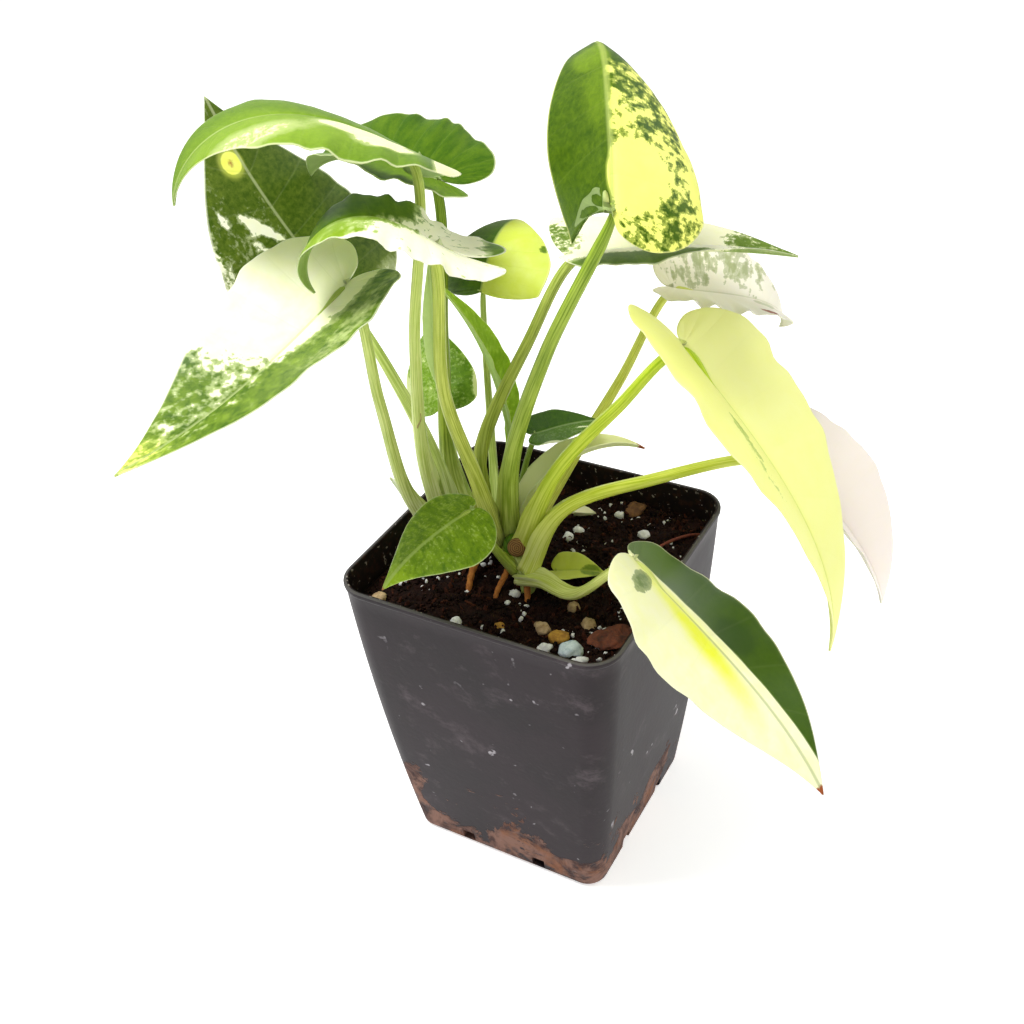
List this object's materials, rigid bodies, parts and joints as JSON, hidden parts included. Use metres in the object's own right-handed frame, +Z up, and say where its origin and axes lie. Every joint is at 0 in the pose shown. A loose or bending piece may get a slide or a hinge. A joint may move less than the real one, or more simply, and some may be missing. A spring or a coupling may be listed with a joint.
{
  "type": "potted variegated philodendron",
  "caption": "Creeping philodendron with variegated heart-shaped leaves on long stalks, growing in a square black nursery pot.",
  "frame": {"origin": "middle of the pot's underside, on the surface the pot stands on", "axes": "+Z up; +X and +Y square to the pot's walls, with -Y the broad wall that the picture shows at the left and +X the narrow one at the right"},
  "size_m": [0.2313, 0.2112, 0.2699],
  "materials": {
    "pot": "satin",
    "potting_mix": "matte",
    "crown": "satin",
    "leaf_arch": "satin",
    "leaf_back": "satin",
    "leaf_heart": "satin",
    "leaf_lance": "satin",
    "leaf_bent": "satin",
    "leaf_mottled": "satin",
    "leaf_flat": "satin",
    "leaf_cream": "satin",
    "leaf_yellow": "satin",
    "leaf_white": "satin",
    "leaf_front": "satin",
    "leaf_low": "satin",
    "leaf_middle": "satin",
    "leaf_round": "satin",
    "leaf_small": "satin",
    "leaf_baby": "satin",
    "leaf_rolled": "satin"
  },
  "bodies": {
    "root": {"pot": "pot", "potting_mix": "potting_mix", "crown": "crown", "leaf_arch": "leaf_arch", "leaf_back": "leaf_back", "leaf_heart": "leaf_heart", "leaf_lance": "leaf_lance", "leaf_bent": "leaf_bent", "leaf_mottled": "leaf_mottled", "leaf_flat": "leaf_flat", "leaf_cream": "leaf_cream", "leaf_yellow": "leaf_yellow", "leaf_white": "leaf_white", "leaf_front": "leaf_front", "leaf_low": "leaf_low", "leaf_middle": "leaf_middle", "leaf_round": "leaf_round", "leaf_small": "leaf_small", "leaf_baby": "leaf_baby", "leaf_rolled": "leaf_rolled"}
  },
  "joints": []
}
